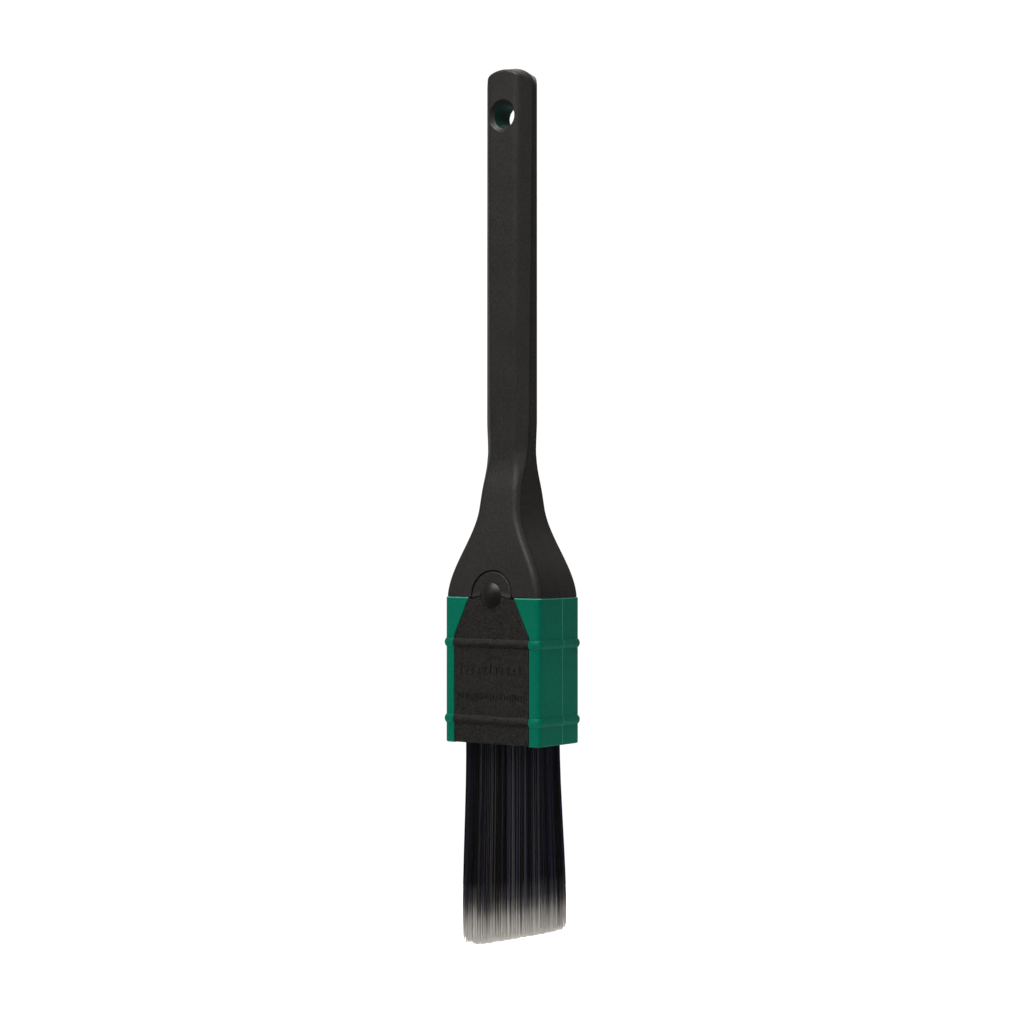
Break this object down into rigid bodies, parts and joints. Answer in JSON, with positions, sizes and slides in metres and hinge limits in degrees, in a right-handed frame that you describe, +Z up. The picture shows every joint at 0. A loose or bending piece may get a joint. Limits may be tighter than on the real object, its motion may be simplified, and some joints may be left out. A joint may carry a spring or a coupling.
{
  "type": "flat paint brush",
  "caption": "Flat paint brush with an angled bristle cut, a long faceted handle with a hanging hole, and a plastic ferrule head that clips on and is released by a domed button.",
  "frame": {"origin": "centre of the hanging hole, in the middle of the handle's depth", "axes": "+Z up the handle, X across the width of the brush, +Y towards its back; the front with the release button faces -Y"},
  "size_m": [0.0418, 0.0258, 0.3],
  "materials": {
    "core_green": "moulded green plastic with a slight sheen",
    "grip_black": "satin warm black plastic with a very fine grain",
    "spring_steel": "bare spring steel strip",
    "ferrule_green": "semi-gloss green plastic with soft moulded edges",
    "plate_black": "matt black plastic with a fine spark-eroded texture",
    "button_black": "smooth satin black plastic",
    "filament": "glossy black and navy synthetic filaments with pale flagged tips",
    "spacer_wood": "plain softwood strip",
    "resin": "cast amber epoxy resin"
  },
  "bodies": {
    "handle": {"handle_core": "core_green", "grip_front": "grip_black", "grip_rear": "grip_black", "snap_clip": "spring_steel"},
    "head": {"ferrule": "ferrule_green", "front_plate": "plate_black", "button_retainer": "spring_steel", "bristles": "filament", "bristle_spacer": "spacer_wood", "epoxy_set": "resin"},
    "button": {"release_button": "button_black"}
  },
  "joints": [
    {"name": "head_slide", "type": "slide", "parent": "handle", "child": "head", "axis": [0, 0, -1], "range_m": [0, 0.03], "deforming": ["snap_clip"]},
    {"name": "button_press", "type": "slide", "parent": "head", "child": "button", "axis": [0, 1, 0], "range_m": [0, 0.0013], "stiffness_N_per_m": 1500, "springref_m": -0.001, "deforming": ["snap_clip"]}
  ]
}
